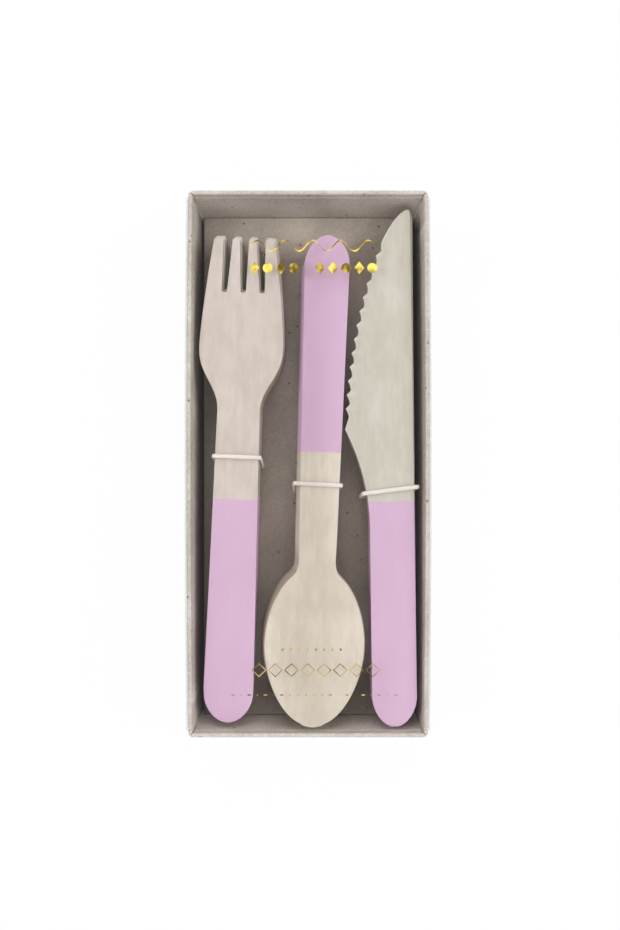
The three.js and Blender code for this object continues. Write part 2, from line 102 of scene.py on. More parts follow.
class Finish:
    def __init__(self, name, owner=None, shader="Principled BSDF"):
        self.material = owner or bpy.data.materials.new(name)
        self.material.use_nodes = True
        self.tree = self.material.node_tree
        self.shader = self.tree.nodes[shader]

    def node(self, kind, settings=None, inputs=None, out=0):
        made = self.tree.nodes.new("ShaderNode" + kind)
        for name, value in (settings or {}).items():
            setattr(made, name, value)
        for name, value in (inputs or {}).items():
            if isinstance(value, Flow):
                self.tree.links.new(value.socket, made.inputs[name])
            else:
                made.inputs[name].default_value = value
        return Flow(self, made.outputs[out])

    def seen(self):  # 1 where the camera, a reflection or clear film looks at it
        kinds = ("Camera", "Glossy", "Transmission")
        first, second, third = (self.node("LightPath", out=f"Is {kind} Ray") for kind in kinds)
        return first.math("MAXIMUM", second).math("MAXIMUM", third)

    def place(self, scale=(1, 1, 1), turn=0):  # Object coordinates, turned to a piece's own lean
        where = self.node("TexCoord", out="Object")
        return self.node("Mapping", {"vector_type": "TEXTURE"},
                         {"Vector": where, "Rotation": (0, 0, turn),
                          "Scale": tuple(1 / s for s in scale)})

    def noise(self, where, size, detail=2, roughness=0.5):  # size of its features, in metres
        return self.node("TexNoise", {}, {"Vector": where, "Scale": 1 / size, "Detail": detail,
                                          "Roughness": roughness})

    def mix(self, share, first, second):
        return self.node("Mix", {"data_type": "RGBA"}, {0: share, 6: first, 7: second}, out=2)

    def bump(self, height, depth, before=None):
        inputs = {"Height": height, "Distance": depth, "Strength": 1}
        if before:
            inputs["Normal"] = before
        return self.node("Bump", {}, inputs)

    def set(self, **values):
        for name, value in values.items():
            socket = self.shader.inputs[name.replace("_", " ")]
            if isinstance(value, Flow):
                self.tree.links.new(value.socket, socket)
            else:
                socket.default_value = value
        return self.material


# Finishes
cardLook = {
    "pale": tone(221, 214, 205), "deep": tone(180, 171, 159), "fibre": tone(160, 150, 138),
    "shadePale": tone(212, 202, 189), "shadeDeep": tone(181, 171, 157),  # the platform's card: the same card made darker, as painted shade
    "fleck": tone(66, 56, 50), "perMetre": 400, "flecks": 0.2,  # the share of cells that hold a fleck
    "cloud": 0.014, "pulp": 0.0011, "strand": 0.00032, "tooth": 0.0005,  # metres across
    "strands": ((0.5, 0.12), (-0.9, 0.14)),  # two sets of loose fibres: how turned and how drawn out
    # The dark colour and the four strengths on this line are painted shade, darkening the card low in the
    # tray and around the platform
    "paintedShade": tone(86, 76, 68), "wallPaintedShade": 0.84, "sidePaintedShade": 0.37, "allPaintedShade": 0.3, "nearPaintedShade": 0.2,
}


def wallPaintedShade(card):  # painted shade: the inner long sides get darker on their way down
    x, y, z = (card.node("SeparateXYZ", {}, {0: card.place()}, out=axis) for axis in "XYZ")
    outside = x.math("ABSOLUTE").between(0.0371, 0.0375)
    endWall = y.math("ABSOLUTE").between(0.0842, 0.0844)
    high = z.between(0.009, 0.021)
    return (1 - outside) * (1 - endWall) * (1 - high) * cardLook["wallPaintedShade"]


def platformPaintedShade(card):  # painted shade: the raised card is lightest at its far end and darkest at its edges and near end
    x, y = (card.node("SeparateXYZ", {}, {0: card.place()}, out=axis) for axis in "XY")
    sides = x.math("ABSOLUTE").between(0.025, 0.0365) * cardLook["sidePaintedShade"]
    farEnd = y.between(0.062, 0.08)
    nearEnd = (y * -1).between(0.01, 0.09)
    return sides + (1 - farEnd) * cardLook["allPaintedShade"] + nearEnd * cardLook["nearPaintedShade"]


def makeCard(name, pale, deep, paintedShade):
    look = cardLook
    card = Finish(name)
    where = card.place()
    cloud = card.noise(where, look["cloud"], 3).between(0.3, 0.7)
    pulp = card.noise(where, look["pulp"], 4, 0.7).between(0.3, 0.72)
    colour = card.mix(cloud * 0.45 + pulp * 0.55, deep, pale)
    for turn, stretch in look["strands"]:
        strand = card.noise(card.place((1, stretch, 1), turn), look["strand"], 1)
        colour = card.mix(strand.between(0.7, 0.8) * 0.35, colour, look["fibre"])
    cell = {"Vector": where, "Scale": look["perMetre"]}
    near = card.node("TexVoronoi", {}, cell, out="Distance")
    tint = card.node("TexVoronoi", {}, cell, out="Color")  # follows the cell point's place, so it is stirred
    red, green, blue = (card.node("SeparateColor", {}, {0: tint}, out=channel) for channel in range(3))
    luck = (red * 17.3 + green * 31.7 + blue * 23.1).math("FRACT")
    without = 1 - look["flecks"]
    fleck = (1 - near.between(0.11, 0.2)) * luck.between(without, without + 0.01)
    colour = card.mix(fleck * 0.7, colour, look["fleck"])
    # painted shade: the card is darkened where its mask says shade falls
    colour = card.mix(paintedShade(card), colour, look["paintedShade"])
    rough = card.bump(card.noise(where, look["tooth"], 3, 0.6), 0.00006)
    return card.set(Base_Color=colour, Roughness=0.88, Specular_IOR_Level=0.25,
                    Normal=card.bump(cloud, 0.00012, rough))


birchLook = {
    "grain": 0.03, "band": 0.0021, "line": 0.00042,  # grain is how drawn out the bands and lines are
    "mottle": 0.0024, "cloud": 0.012, "dash": 0.0003,  # metres across
    # The cut sides' colour is their browner end grain, deepened as painted shade between the stacked pieces
    # The palest colour here is a painted highlight for the rounded edges of the cut
    "pore": tone(176, 158, 138), "cut": tone(158, 134, 110), "edgeHighlight": tone(240, 233, 222),
}


def makeBirch(name, pale, deep, turn):
    look = birchLook
    wood = Finish(name)
    along = wood.place((1, look["grain"], 1), turn)
    band = wood.noise(along, look["band"], 2).between(0.25, 0.75)
    line = wood.noise(along, look["line"], 2, 0.6).between(0.3, 0.75)
    mottle = wood.noise(wood.place((1, 0.35, 1), turn), look["mottle"], 3, 0.65).between(0.25, 0.75)
    cloud = wood.noise(wood.place((1, 0.5, 1), turn), look["cloud"], 2).between(0.3, 0.7)
    share = (band * 0.16 + line * 0.12 + mottle * 0.4 + cloud * 0.32).between(-0.05, 1.05)
    colour = wood.mix(share, deep, pale)
    dash = wood.noise(wood.place((1, 0.12, 1), turn), look["dash"], 0)
    colour = wood.mix(dash.between(0.7, 0.8) * 0.16, colour, look["pore"])
    facing = wood.node("SeparateXYZ", {}, {0: wood.node("NewGeometry", out="Normal")}, out="Z")
    side = 1 - facing.math("ABSOLUTE").between(0.25, 0.75)
    # the cut sides: the end grain's browner tone, deepened as painted shade between the stacked pieces
    colour = wood.mix(side * 0.5, colour, look["cut"])
    arris = facing.between(0.5, 0.85) * (1 - facing.between(0.93, 0.99))  # painted highlight: the rounded corner of the cut is made paler
    colour = wood.mix(arris * 0.6, colour, look["edgeHighlight"])
    grain = wood.bump(line, 0.000015, wood.bump(mottle, 0.00002))
    return wood.set(Base_Color=colour, Roughness=0.62 + line * 0.12, Specular_IOR_Level=0.3, Normal=grain)


paintLook = {
    "deep": tone(204, 169, 196), "pale": tone(211, 177, 203), "grain": 0.03, "line": 0.0006, "cloud": 0.012,
}


def makePaint(name, turn):
    look = paintLook
    paint = Finish(name)
    along = paint.place((1, look["grain"], 1), turn)
    line = paint.noise(along, look["line"], 2, 0.6).between(0.35, 0.75)
    cloud = paint.noise(paint.place((1, 0.4, 1), turn), look["cloud"], 2).between(0.3, 0.7)
    colour = paint.mix(cloud * 0.6 + line * 0.4, look["deep"], look["pale"])
    return paint.set(Base_Color=colour, Roughness=0.5 + line * 0.08, Specular_IOR_Level=0.35,
                     Normal=paint.bump(line, 0.00002))


elasticLook = {
    "deep": tone(226, 212, 206), "pale": tone(247, 239, 234), "ribs": 620, "fuzz": 0.0004,
    "swell": 0.07,  # millimetres; makes up for what the rounding takes off
}


def makeElastic():
    look = elasticLook
    elastic = Finish("elastic")
    where = elastic.place()
    rib = elastic.node("TexWave", {"bands_direction": "DIAGONAL"},
                       {"Vector": where, "Scale": look["ribs"], "Distortion": 1.5, "Detail": 1})
    fuzz = elastic.noise(where, look["fuzz"], 2)
    colour = elastic.mix(rib * 0.6 + fuzz * 0.4, look["deep"], look["pale"])
    return elastic.set(Base_Color=colour, Roughness=0.75, Normal=elastic.bump(rib, 0.0001))


# Shares of cover: the flat film, film seen edge on (a painted reflection), the sealed lap underneath, the
# folds (a painted highlight) and the cut ends
filmLook = {"tint": tone(205, 205, 205), "flat": 0.01, "edgeOnReflection": 0.4, "lap": 0.1, "foldHighlight": 0.6, "end": 0.1}


def makeFilm():
    look = filmLook
    film = Finish("clear_film")
    edgeOnReflection = film.node("LayerWeight", {}, {"Blend": 0.35}, out="Facing")
    x, y = (film.node("SeparateXYZ", {}, {0: film.place()}, out=axis).math("ABSOLUTE") for axis in "XY")
    up = film.node("SeparateXYZ", {}, {0: film.node("NewGeometry", out="Normal")}, out="Z")
    level = up.math("ABSOLUTE")
    lap = (1 - x.between(0.0062, 0.0065)) * (up * -1).between(0.9, 0.95)
    foldHighlight = level * (1 - level)
    end = y.between(0.0832, 0.0834)
    # painted reflection and highlight: the grey film grows more opaque seen edge on and where it bends at the
    # folds
    cover = look["flat"] + edgeOnReflection * edgeOnReflection * look["edgeOnReflection"] + lap * look["lap"]
    return film.set(Base_Color=look["tint"], Roughness=0.06, Specular_IOR_Level=0.5,
                    Alpha=cover + foldHighlight * look["foldHighlight"] + end * look["end"])


def makeFoil(name, dark, light):
    foil = Finish(name)
    where = foil.place()
    # painted reflection: the gold's colour swings between dark and bright in patches, standing in for the
    # foil's uneven reflections
    reflectionPatches = foil.noise(where, 0.004, 2).between(0.35, 0.65)
    crinkle = foil.noise(where, 0.0006, 2)
    colour = foil.mix(reflectionPatches, dark, light)
    return foil.set(Base_Color=colour, Metallic=1, Roughness=0.24 + reflectionPatches * 0.2,
                    Normal=foil.bump(crinkle, 0.00002))


# Modelling helpers
def clearSelection():
    if bpy.context.object and bpy.context.object.mode != "OBJECT":
        bpy.ops.object.mode_set(mode="OBJECT")
    bpy.ops.object.select_all(action="DESELECT")


def pick(obj, test, what="verts"):  # in edit mode, selects the parts that pass a test, and no others
    mesh = bmesh.from_edit_mesh(obj.data)
    for part in (*mesh.verts, *mesh.edges, *mesh.faces):
        part.select = False
    for part in getattr(mesh, what):
        if test(part):
            part.select_set(True)
    mesh.select_flush_mode()
    bmesh.update_edit_mesh(obj.data)


gridClear = 2  # metres; rows and columns that are done wait this far from those to come


def startPlate(name, stations, across):  # a flat grid with one row of vertices for each station
    clearSelection()
    bpy.ops.mesh.primitive_grid_add(x_subdivisions=across, y_subdivisions=len(stations) - 1, size=2)
    plate = bpy.context.object
    plate.name = plate.data.name = name
    bpy.ops.object.mode_set(mode="EDIT")
    bpy.ops.mesh.select_mode(type="VERT")
    return plate


def gridLines(plate, axis):
    return sorted({round(v.co[axis], 5) for v in bmesh.from_edit_mesh(plate.data).verts})


def shapeRows(plate, stations, sides):  # sides gives the left and right edge at a station
    for row, at in zip(gridLines(plate, 1), stations):
        left, right = (x * mm for x in sides(at))
        pick(plate, lambda v: abs(v.co.y - row) < 1e-4 and abs(v.co.x) < 1.001)
        bpy.ops.transform.resize(value=((right - left) / 2, 1, 1), center_override=(0, row, 0))
        bpy.ops.transform.translate(value=((left + right) / 2, at * mm + gridClear - row, 0))
    pick(plate, lambda v: True)
    bpy.ops.transform.translate(value=(0, -gridClear, 0))


def useModifier(obj, kind, **settings):
    modifier = obj.modifiers.new(kind.title(), kind)
    for name, value in settings.items():
        setattr(modifier, name, value)
    bpy.context.view_layer.objects.active = obj
    bpy.ops.object.modifier_apply(modifier=modifier.name)


def pressPlate(plate, dip, depthShare):  # a vertex group holds how deep the press goes
    group = plate.vertex_groups.new(name="press")
    for v in plate.data.vertices:
        group.add([v.index], depthShare(v.co.x / mm, v.co.y / mm), "REPLACE")
    useModifier(plate, "DISPLACE", direction="Z", mid_level=0, strength=-dip * mm, vertex_group="press")
    plate.vertex_groups.clear()


def thicken(plate, thickness, edge):
    useModifier(plate, "SOLIDIFY", thickness=thickness * mm, offset=1, use_even_offset=True)
    useModifier(plate, "BEVEL", limit_method="ANGLE", angle_limit=math.radians(50), width=edge * mm,
                segments=2, use_clamp_overlap=True)


def dipInPaint(plate, wood, paint, line, beyond):  # the mesh is cut at the paint line
    plate.data.materials.append(wood)
    plate.data.materials.append(paint)
    bpy.ops.object.mode_set(mode="EDIT")
    bpy.ops.mesh.select_mode(type="VERT")
    pick(plate, lambda v: True)
    bpy.ops.mesh.bisect(plane_co=(0, line * mm, 0), plane_no=(0, 1, 0))
    bpy.ops.mesh.select_mode(type="FACE")
    pick(plate, lambda f: (f.calc_center_median().y > line * mm) == beyond, "faces")
    plate.active_material_index = 1
    bpy.ops.object.material_slot_assign()
    bpy.ops.object.mode_set(mode="OBJECT")
    bpy.ops.object.shade_smooth_by_angle(angle=math.radians(35))


# The stacks, in millimetres; seat is where the lowest pieces lie, just clear of the platform, and endReach is
# the length of a handle's round end
stackLook = {
    "pieces": 8, "thickness": 1.45, "gap": 0.3, "seat": 9.47, "cutEdge": 0.3,
    "endReach": 8.8, "endPower": 1.6, "scatter": 0.1, "scatterStep": 2.4,  # scatter in degrees
}


def smoothStep(t):
    t = min(max(t, 0), 1)
    return t * t * (3 - 2 * t)


def handleEnd(fromEnd):  # share of full width near a handle's round end
    return math.sqrt(1 - min(max(1 - fromEnd / stackLook["endReach"], 0), 1) ** stackLook["endPower"])



# A lay says where a stack starts, its lift in millimetres, its lean in degrees and its tilt in radians, all
# going by the top piece. Then it says how the pieces under that one stray: a turn about a pivot along the
# piece, a shift across and along, and how many pieces this builds up over.
def stackUp(kind, master, lay):  # eight copies, each where its CAD node lies
    look = stackLook
    stand = Matrix.Translation((lay["x"], lay["y"], look["seat"] + lay["lift"]))
    stand = stand @ Matrix.Rotation(math.radians(lay["lean"]), 4, "Z") @ Matrix.Rotation(lay["rise"], 4, "X")
    worst = 0
    for level in range(look["pieces"]):
        share = min((look["pieces"] - 1 - level) / lay["over"], 1)
        own = share * math.radians(lay["turn"] + look["scatter"] * math.sin(look["scatterStep"] * level))
        up = level * (look["thickness"] + look["gap"])
        shift = Vector((share * lay["across"], lay["pivot"] + share * lay["along"], up))
        stray = Matrix.Translation(shift) @ Matrix.Rotation(own, 4, "Z")
        place = stand @ stray @ Matrix.Translation((0, -lay["pivot"], 0))
        piece = master.copy()
        piece.data = master.data.copy()
        piece.name = piece.data.name = f"birch_{kind}_{level + 1}"
        bpy.context.scene.collection.objects.link(piece)
        piece.data.transform(Matrix.Scale(mm, 4) @ place @ Matrix.Scale(1 / mm, 4))
        node = f"{kind}_{level + 1}"
        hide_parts(node)
        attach(piece, packBody)
        low = [min(v.co[i] for v in piece.data.vertices) for i in range(3)]
        high = [max(v.co[i] for v in piece.data.vertices) for i in range(3)]
        cadLow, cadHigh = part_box(node)
        worst = max(worst, *[abs(a - b) for a, b in zip((*low, *high), (*cadLow, *cadHigh))])
    bpy.data.objects.remove(master)
    print(kind, "stack laid; furthest from its CAD boxes", round(worst / mm, 2), "mm")


# Fork
forkLook = {
    "length": 154, "handleEnd": 16.1, "neck": 13.4, "head": 27.3, "tip": 19.2, "taper": 1.5,
    "headAt": 117.5, "shoulderAt": 100.8, "shoulder": 16.7, "dip": 2, "pressAt": 90.78,
    "slotRoot": 137.4, "rootPitch": 6.1, "tipPitch": 5.2, "rootWidth": 1.7, "tipWidth": 2.9,
    "slotLead": 4, "tineSide": 0.28, "tipRise": 0.86, "crown": 0.3, "blunt": 0.02, "painted": 71.4,
}
forkLay = {
    "x": -25.863, "y": -82.3, "lift": 0, "lean": -2.15, "rise": 0.01641,
    "turn": -0.4, "across": 0, "along": 1.3, "pivot": 85, "over": 1,
}


def forkHalf(v):
    look = forkLook
    handle = look["handleEnd"] + (look["neck"] - look["handleEnd"]) * min(v / look["shoulderAt"], 1)
    shoulder = (look["head"] - look["neck"]) * smoothStep((v - look["shoulderAt"]) / look["shoulder"])
    pastHead = max(v - look["headAt"], 0) / (look["length"] - look["headAt"])
    taper = (look["head"] - look["tip"]) * pastHead ** look["taper"]
    return (handle + shoulder - taper) / 2 * handleEnd(v + look["blunt"])


def slotEdges(v):  # edges of the three slots at a station, from left to right
    t = (v - forkLook["slotRoot"]) / (forkLook["length"] - forkLook["slotRoot"])
    pitch = forkLook["rootPitch"] + (forkLook["tipPitch"] - forkLook["rootPitch"]) * t
    half = (forkLook["rootWidth"] + (forkLook["tipWidth"] - forkLook["rootWidth"]) * t) / 2
    return [side * pitch + edge * half for side in (-1, 0, 1) for edge in (-1, 1)]


def buildFork():
    look = forkLook
    root, tip = look["slotRoot"], look["length"]
    stations = [0, 0.2, 0.8, 1.9, 3.4, 5.2, 7.2, 9.4, 14, 40, 71, 90, 98, 101.5, 105, 109, 113]
    stations += [look["headAt"], 124, 130, root - 3.2, root - 0.9, root, root + 0.8, root + 3, root + 8]
    stations += [tip - 4, tip - 1.6, tip - 0.5, tip]
    fork = startPlate("fork", stations, 15)
    shapeRows(fork, stations, lambda v: (-forkHalf(v), forkHalf(v)))
    bpy.ops.mesh.select_mode(type="VERT")
    for at in [s for s in stations if s > look["headAt"]]:  # the columns of the head line up with its tines
        outer = [-forkHalf(at), *slotEdges(max(at, root - look["slotLead"])), forkHalf(at)]
        wanted = []
        for left, right in zip(outer[::2], outer[1::2]):
            side = (right - left) * look["tineSide"]
            wanted += [left, left + side, right - side, right]
        ease = min(max((at - look["headAt"]) / (root - look["headAt"]), 0), 1)

        def inRow(v):
            return abs(v.co.y - at * mm) < 2e-5 and v.co.z < 1

        columns = sorted(v.co.x for v in bmesh.from_edit_mesh(fork.data).verts if inRow(v))
        for column, to in zip(columns, wanted):
            pick(fork, lambda v: inRow(v) and abs(v.co.x - column) < 1e-6)
            bpy.ops.transform.translate(value=((to * mm - column) * ease, 0, gridClear))
    pick(fork, lambda v: True)
    bpy.ops.transform.resize(value=(1, 1, 0), center_override=(0, 0, 0))
    bpy.ops.mesh.select_mode(type="FACE")

    def inSlot(f):
        middle = f.calc_center_median() / mm
        edges = slotEdges(middle.y)
        return middle.y > root and any(a < middle.x < b for a, b in zip(edges[::2], edges[1::2]))

    pick(fork, inSlot, "faces")
    bpy.ops.mesh.delete(type="FACE")
    bpy.ops.object.mode_set(mode="OBJECT")
    useModifier(fork, "SUBSURF", levels=2, render_levels=2)

    def press(x, v):
        t = min(max((v - look["pressAt"]) / (look["length"] - look["pressAt"]), 0), 1)
        across = 1 - look["crown"] * (2 * x / look["head"]) ** 2
        return math.sin(look["tipRise"] * math.pi * t) ** 2 * across

    pressPlate(fork, look["dip"], press)
    thicken(fork, stackLook["thickness"], stackLook["cutEdge"])
    turn = math.radians(forkLay["lean"])
    dipInPaint(fork, makeBirch("birch_fork", tone(213, 202, 194), tone(194, 182, 172), turn),
               makePaint("painted_fork", turn), look["painted"], False)
    stackUp("fork", fork, forkLay)


# Spoon
spoonLook = {
    "length": 156.5, "bowl": 32.4, "bowlTip": 25, "bowlNeck": 26, "neck": 11.8, "handleEnd": 14.6,
    "tipPower": 1.7, "blend": 1.6, "blunt": 0.02, "dip": 3, "tipTurn": 0.4, "pressNeck": 1.4,
    "crossShare": 0.72, "leastHalf": 4, "painted": 87,
}
spoonLay = {
    "x": 1.083, "y": -83.4, "lift": 3.5703, "lean": -1.95, "rise": -0.02281,
    "turn": -0.2, "across": -1.5, "along": 0, "pivot": 40, "over": 6,
}


def spoonHalf(v):
    look = spoonLook
    before = max(look["bowlTip"] - v - look["blunt"], 0) / look["bowlTip"]
    after = min(max(v - look["bowlTip"], 0) / look["bowlNeck"], 1)
    bowl = look["bowl"] / 2 * math.sqrt(1 - before ** look["tipPower"]) * math.sqrt(1 - after ** 2)
    if v <= look["bowlTip"]:
        return bowl
    neckAt = look["bowlTip"] + look["bowlNeck"]
    up = max(v - neckAt, 0) / (look["length"] - neckAt)
    handle = (look["neck"] + (look["handleEnd"] - look["neck"]) * up) / 2
    near = max(look["blend"] - abs(bowl - handle), 0) / look["blend"]
    blended = max(bowl, handle) + near * near * look["blend"] / 4
    return blended * handleEnd(look["length"] - v + look["blunt"])


def buildSpoon():
    look = spoonLook
    end = look["length"]
    stations = [0, 0.3, 1.2, 2.7, 4.8, 7.4, 10.5, 14, 18, 22, 26, 30, 34, 38, 41.5, 44, 46, 47.5, 49]
    stations += [51, 55, 62, 75, 100, 130]
    stations += [end - back for back in (14, 9.4, 7.2, 5.2, 3.4, 1.9, 0.8, 0.2, 0)]
    spoon = startPlate("spoon", stations, 8)
    shapeRows(spoon, stations, lambda v: (-spoonHalf(v), spoonHalf(v)))
    bpy.ops.object.mode_set(mode="OBJECT")
    useModifier(spoon, "SUBSURF", levels=2, render_levels=2)
    neckEnd = look["bowlTip"] + look["pressNeck"] * look["bowlNeck"]

    def press(x, v):
        if v < look["bowlTip"]:
            along = math.cos(look["tipTurn"] * math.pi * (1 - v / look["bowlTip"])) ** 2
        else:
            along = 1 - smoothStep((v - look["bowlTip"]) / (neckEnd - look["bowlTip"]))
        half = max(spoonHalf(min(v, look["bowlTip"] + look["bowlNeck"])), look["leastHalf"])
        return along * (1 - look["crossShare"] * min(abs(x) / half, 1) ** 2)

    pressPlate(spoon, look["dip"], press)
    thicken(spoon, stackLook["thickness"], stackLook["cutEdge"])
    turn = math.radians(spoonLay["lean"])
    dipInPaint(spoon, makeBirch("birch_spoon", tone(222, 212, 198), tone(203, 191, 174), turn),
               makePaint("painted_spoon", turn), look["painted"], True)
    stackUp("spoon", spoon, spoonLay)


# Knife
knifeLook = {
    "length": 165, "handle": 14.2, "blade": 21.7, "heel": 94.6, "sweep": 31,
    "bellyPower": 1.6, "pointPower": 0.58, "cornerFrom": 1.3, "cornerTo": 0.36, "cornerIn": 0.8,
    "teeth": 12, "pitch": 4.45, "depth": 1.15, "run": 0.7, "plainPoint": 13.6, "plainFront": 10.9,
    "fade": 2.7, "cutEdge": 0.16, "blunt": 0.1, "painted": 71.5,
}
knifeLay = {
    "x": 27.552, "y": -83.4, "lift": 1.8374, "lean": 0.73, "rise": -0.011136,
    "turn": -0.35, "across": 0.25, "along": -0.3, "pivot": 20, "over": 1,
}


def bladeReach(v):
    t = min(max((v - knifeLook["heel"]) / (knifeLook["length"] - knifeLook["heel"]), 0), 1)
    return knifeLook["blade"] * (1 - t ** knifeLook["bellyPower"]) ** knifeLook["pointPower"]


def knifeSides(v):
    look = knifeLook
    half = look["handle"] / 2
    topTooth = look["length"] - look["plainPoint"]
    if v < look["heel"] - look["sweep"]:
        end = half * handleEnd(v + look["blunt"])
        return -end, end
    if v < look["heel"]:
        t = (v - look["heel"] + look["sweep"]) / look["sweep"]
        return -half - (look["blade"] - look["handle"]) * t * t, half
    # The point is round at the spine
    corner = max(v - look["length"] + look["cornerFrom"], 0) / (look["cornerFrom"] - look["cornerTo"])
    spine = half - look["cornerIn"] * (1 - math.sqrt(1 - min(corner, 1) ** 2))
    step = (topTooth - v) / look["pitch"]  # counts teeth from the first notch towards the heel
    if step < 0:
        cut = look["depth"] * min(max((look["length"] - look["plainFront"] - v) / look["fade"], 0), 1)
    elif step > look["teeth"]:
        cut = 0
    else:
        part = step % 1
        rise = 1 - look["run"]
        if part < rise:
            cut = look["depth"] * (1 - part / rise)
        else:
            t = (part - rise) / look["run"]
            cut = look["depth"] * (1 - (1 - t) ** 2)
    return half - bladeReach(v) + cut, spine


def buildKnife():
    look = knifeLook
    topTooth = look["length"] - look["plainPoint"]
    heelFrom = look["heel"] - look["sweep"]
    stations = [0, 0.3, 0.9, 1.8, 3, 4.6, 6.6, 8.8, 20, 40]
    stations += [heelFrom + look["sweep"] * i / 10 for i in range(10)]
    teeth = [look["heel"]]
    for tooth in range(look["teeth"]):
        base = topTooth - tooth * look["pitch"]
        teeth += [base - look["pitch"] * part for part in (0, 0.15, 0.3, 0.45, 0.6, 0.75, 0.9)]
    stations += sorted(t for t in set(teeth) if t >= look["heel"])
    stations += [topTooth + on for on in (1.4, 2.7, 4.2, 5.8, 7.4, 8.9, 10.2, 11.3, 12.1, 12.6, 13, 13.24)]
    knife = startPlate("knife", stations, 2)
    shapeRows(knife, stations, knifeSides)
    bpy.ops.object.mode_set(mode="OBJECT")
    thicken(knife, stackLook["thickness"], look["cutEdge"])
    turn = math.radians(knifeLay["lean"])
    dipInPaint(knife, makeBirch("birch_knife", tone(208, 203, 192), tone(190, 184, 170), turn),
               makePaint("painted_knife", turn), look["painted"], False)
    stackUp("knife", knife, knifeLay)


# Gold marks printed on the wrap
foilLook = {
    "top": 27.42, "thickness": 0.04, "stroke": 0.26,  # millimetres, just under the wrap's inner face
    "bold": {"y": 61.4, "from": -16.8, "pitch": 4.1, "marks": "dcdc ddcdc", "width": 3.1, "height": 4.0},
    "wave": {"y": 68.4, "from": -18, "to": 21, "height": 1.7, "waves": 4.5,
             "line": 0.42, "swell": 0.6, "steps": 72},
    "small": {"y": -58.3, "from": -8, "pitch": 2.6, "marks": "cdcdcdcd", "width": 0.8, "height": 1.2},
    "chain": {"y": -64.7, "from": -15.4, "pitch": 5.1, "marks": "oooooooo", "width": 4.6, "height": 4.4},
    "dashes": {"y": -72.5, "from": -23.6, "pitch": 2.55, "marks": "hchchchchchchchchchch",
               "width": 1.3, "height": 0.4},
}


def foilShape(mark, width, height):
    corners = 24 if mark in "ch" else 4
    bpy.ops.mesh.primitive_circle_add(vertices=corners, radius=mm / 2, fill_type="NGON")
    shape = bpy.context.object
    bpy.ops.object.mode_set(mode="EDIT")
    if mark == "c":
        width = height = min(width, height) if height > 1 else height
    bpy.ops.transform.resize(value=(width, height, 1), center_override=(0, 0, 0))
    if mark == "o":  # a lozenge in outline
        bpy.ops.mesh.inset(thickness=foilLook["stroke"] * mm, depth=0)
        bpy.ops.mesh.delete(type="FACE")
        bpy.ops.mesh.select_all(action="SELECT")
    bpy.ops.mesh.extrude_region_move(TRANSFORM_OT_translate={"value": (0, 0, -foilLook["thickness"] * mm)})
    bpy.ops.mesh.select_all(action="SELECT")
    bpy.ops.mesh.normals_make_consistent(inside=False)
    bpy.ops.object.mode_set(mode="OBJECT")
    return shape


def foilRow(row):
    made = []
    for i, mark in enumerate(row["marks"]):
        if mark == " ":
            continue
        clearSelection()
        shape = foilShape(mark, row["width"], row["height"])
        shape.location = ((row["from"] + i * row["pitch"]) * mm, row["y"] * mm, foilLook["top"] * mm)
        made.append(shape)
    return made


def foilWave(row):
    wave = startPlate("wave", (0, 1), row["steps"])
    for line in gridLines(wave, 0):
        share = (line + 1) / 2
        x = row["from"] + (row["to"] - row["from"]) * share
        angle = share * row["waves"] * 2 * math.pi
        rise = row["height"] * math.sin(angle)
        thick = row["line"] * (1 + row["swell"] * math.cos(angle))
        pick(wave, lambda v: abs(v.co.x - line) < 1e-4)
        bpy.ops.transform.resize(value=(1, thick * mm / 2, 1), center_override=(line, 0, 0))
        bpy.ops.transform.translate(value=(x * mm + gridClear - line, rise * mm, 0))
    pick(wave, lambda v: True)
    bpy.ops.transform.translate(value=(-gridClear, row["y"] * mm, foilLook["top"] * mm))
    bpy.ops.mesh.extrude_region_move(TRANSFORM_OT_translate={"value": (0, 0, -foilLook["thickness"] * mm)})
    bpy.ops.mesh.select_all(action="SELECT")
    bpy.ops.mesh.normals_make_consistent(inside=False)
    bpy.ops.object.mode_set(mode="OBJECT")
    return [wave]


def buildFoil():
    bright = makeFoil("gold_foil", tone(112, 90, 34), tone(230, 202, 96))
    dull = makeFoil("thin_gold_foil", tone(104, 82, 44), tone(200, 172, 108))
    upper = foilWave(foilLook["wave"]) + foilRow(foilLook["bold"])
    lower = foilRow(foilLook["small"]) + foilRow(foilLook["chain"]) + foilRow(foilLook["dashes"])
    groups = {"foil_upper": (bright, upper), "foil_lower": (dull, lower)}
    for name, (gold, shapes) in groups.items():
        clearSelection()
        for shape in shapes:
            shape.select_set(True)
        bpy.context.view_layer.objects.active = shapes[0]
        bpy.ops.object.join()
        marks = bpy.context.object
        marks.name = marks.data.name = name
        bpy.ops.object.transform_apply(location=True, rotation=True, scale=True)
        marks.data.materials.clear()
        marks.data.materials.append(gold)
        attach(marks, packBody)
    print("gold marks laid")


# Tray, with a rolled rim whose corners are mitred
trayLook = {
    "bow": 0.6, "corner": 1.7, "wall": 1.4, "floor": 0.7, "roll": 0.62, "foot": 0.5,  # millimetres
    "slit": (1.7, 0.25, 12), "slitIn": 0.25,  # the rim's mitres: length, width and height, then how far in
    "seam": (0.18, 0.3), "seamIn": 2.3, "seamDrop": 1.6,  # width and depth, then how far in and down
    "bends": 20,  # stretches along a bowed side
}


def addCutter(size, at, turn=0):
    bpy.ops.mesh.primitive_cube_add(size=1, location=at, rotation=(0, 0, turn))
    cutter = bpy.context.object
    cutter.scale = [side * mm for side in size]
    bpy.ops.object.transform_apply(location=True, rotation=True, scale=True)
    return cutter


def same(a, b):
    return abs(a - b) < 1e-5


def sharp(edge, z):  # a sharp edge all at one height
    return all(same(v.co.z, z) for v in edge.verts) and edge.calc_face_angle(0) > 1


